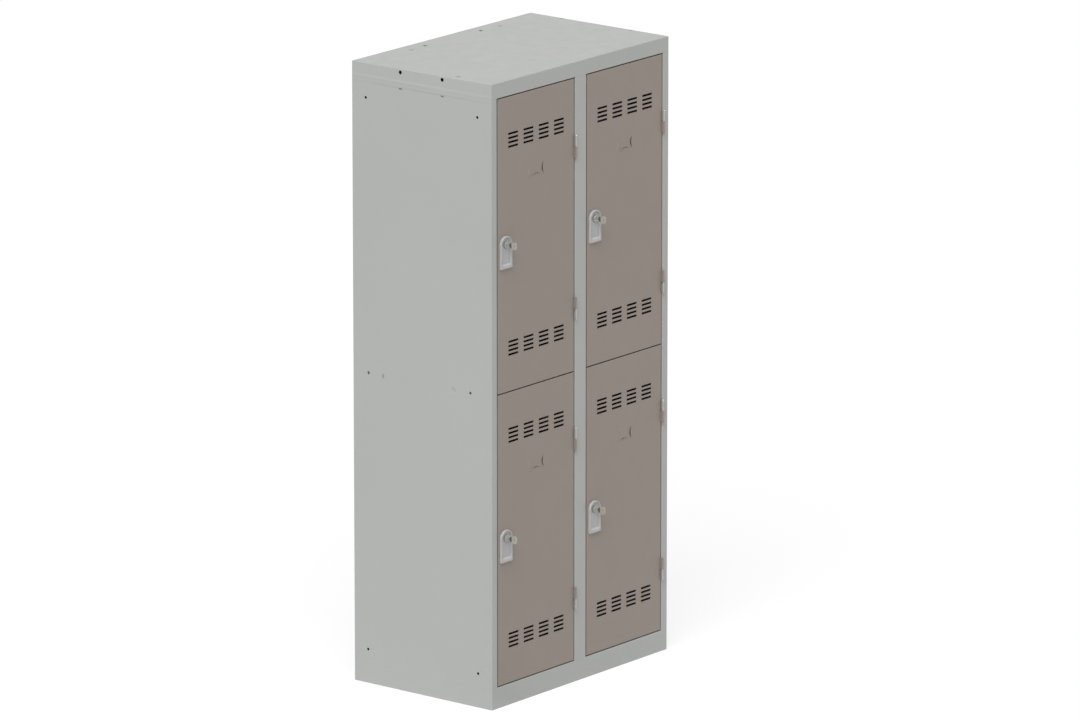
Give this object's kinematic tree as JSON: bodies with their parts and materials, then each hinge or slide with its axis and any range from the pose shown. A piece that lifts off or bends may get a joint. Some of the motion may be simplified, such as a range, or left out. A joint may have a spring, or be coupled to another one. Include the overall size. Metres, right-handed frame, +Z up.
{
  "type": "locker cabinet",
  "caption": "Steel locker cabinet of two columns and two tiers, with louvred hinged doors, arched lock plates and keyed cam locks.",
  "frame": {"origin": "on the floor, under the centre of the cabinet's footprint", "axes": "+X to the right as seen from the front, +Y to the back, +Z up"},
  "size_m": [0.8, 0.5411, 1.8],
  "materials": {
    "frame_paint": "semi-matt light grey powder coat",
    "door_paint": "semi-matt taupe powder coat",
    "lock_grey": "moulded grey plastic",
    "lock_metal": "nickel-plated zinc",
    "key_metal": "nickel-plated brass",
    "pin_steel": "bright steel",
    "zinc_steel": "zinc-plated steel",
    "rubber": "black rubber"
  },
  "bodies": {
    "body": {"top_cap": "frame_paint", "base_plinth": "frame_paint", "side_left": "frame_paint", "side_right": "frame_paint", "centre_post": "frame_paint", "centre_partition": "frame_paint", "back_panel": "frame_paint", "floor_panel": "frame_paint", "tier_shelf_left": "frame_paint", "tier_shelf_right": "frame_paint", "base_rail": "zinc_steel", "coat_hooks": "zinc_steel", "frame_hinge_leaves": "frame_paint", "hinge_pins": "pin_steel", "door_buffers": "rubber"},
    "lower_left_door": {"lower_left_door": "door_paint", "lower_left_stiffener": "zinc_steel", "lower_left_hinge_leaves": "door_paint", "lower_left_lock_plate": "lock_grey", "lower_left_lock_barrel": "lock_metal", "lower_left_lock_nut": "zinc_steel"},
    "lower_left_lock": {"lower_left_lock_plug": "key_metal", "lower_left_lock_cam": "zinc_steel", "lower_left_cam_screw": "zinc_steel"},
    "lower_left_key": {"lower_left_key": "key_metal"},
    "lower_right_door": {"lower_right_door": "door_paint", "lower_right_stiffener": "zinc_steel", "lower_right_hinge_leaves": "door_paint", "lower_right_lock_plate": "lock_grey", "lower_right_lock_barrel": "lock_metal", "lower_right_lock_nut": "zinc_steel"},
    "lower_right_lock": {"lower_right_lock_plug": "key_metal", "lower_right_lock_cam": "zinc_steel", "lower_right_cam_screw": "zinc_steel"},
    "lower_right_key": {"lower_right_key": "key_metal"},
    "upper_left_door": {"upper_left_door": "door_paint", "upper_left_stiffener": "zinc_steel", "upper_left_hinge_leaves": "door_paint", "upper_left_lock_plate": "lock_grey", "upper_left_lock_barrel": "lock_metal", "upper_left_lock_nut": "zinc_steel"},
    "upper_left_lock": {"upper_left_lock_plug": "key_metal", "upper_left_lock_cam": "zinc_steel", "upper_left_cam_screw": "zinc_steel"},
    "upper_left_key": {"upper_left_key": "key_metal"},
    "upper_right_door": {"upper_right_door": "door_paint", "upper_right_stiffener": "zinc_steel", "upper_right_hinge_leaves": "door_paint", "upper_right_lock_plate": "lock_grey", "upper_right_lock_barrel": "lock_metal", "upper_right_lock_nut": "zinc_steel"},
    "upper_right_lock": {"upper_right_lock_plug": "key_metal", "upper_right_lock_cam": "zinc_steel", "upper_right_cam_screw": "zinc_steel"},
    "upper_right_key": {"upper_right_key": "key_metal"}
  },
  "joints": [
    {"name": "lower_left_hinge", "type": "hinge", "parent": "body", "child": "lower_left_door", "pos_m": [-0.02825, -0.256, 0.4855], "axis": [0, 0, 1], "range_deg": [0, 110]},
    {"name": "lower_left_lock_turn", "type": "hinge", "parent": "lower_left_door", "child": "lower_left_lock", "pos_m": [-0.34, -0.25, 0.489], "axis": [0, 1, 0], "range_deg": [0, 90]},
    {"name": "lower_left_key_pull", "type": "slide", "parent": "lower_left_lock", "child": "lower_left_key", "axis": [0, -1, 0], "range_m": [0, 0.03]},
    {"name": "lower_right_hinge", "type": "hinge", "parent": "body", "child": "lower_right_door", "pos_m": [0.37175, -0.256, 0.4855], "axis": [0, 0, 1], "range_deg": [0, 110]},
    {"name": "lower_right_lock_turn", "type": "hinge", "parent": "lower_right_door", "child": "lower_right_lock", "pos_m": [0.06, -0.25, 0.489], "axis": [0, 1, 0], "range_deg": [0, 90]},
    {"name": "lower_right_key_pull", "type": "slide", "parent": "lower_right_lock", "child": "lower_right_key", "axis": [0, -1, 0], "range_m": [0, 0.03]},
    {"name": "upper_left_hinge", "type": "hinge", "parent": "body", "child": "upper_left_door", "pos_m": [-0.02825, -0.256, 1.3315], "axis": [0, 0, 1], "range_deg": [0, 110]},
    {"name": "upper_left_lock_turn", "type": "hinge", "parent": "upper_left_door", "child": "upper_left_lock", "pos_m": [-0.34, -0.25, 1.335], "axis": [0, 1, 0], "range_deg": [0, 90]},
    {"name": "upper_left_key_pull", "type": "slide", "parent": "upper_left_lock", "child": "upper_left_key", "axis": [0, -1, 0], "range_m": [0, 0.03]},
    {"name": "upper_right_hinge", "type": "hinge", "parent": "body", "child": "upper_right_door", "pos_m": [0.37175, -0.256, 1.3315], "axis": [0, 0, 1], "range_deg": [0, 110]},
    {"name": "upper_right_lock_turn", "type": "hinge", "parent": "upper_right_door", "child": "upper_right_lock", "pos_m": [0.06, -0.25, 1.335], "axis": [0, 1, 0], "range_deg": [0, 90]},
    {"name": "upper_right_key_pull", "type": "slide", "parent": "upper_right_lock", "child": "upper_right_key", "axis": [0, -1, 0], "range_m": [0, 0.03]}
  ]
}
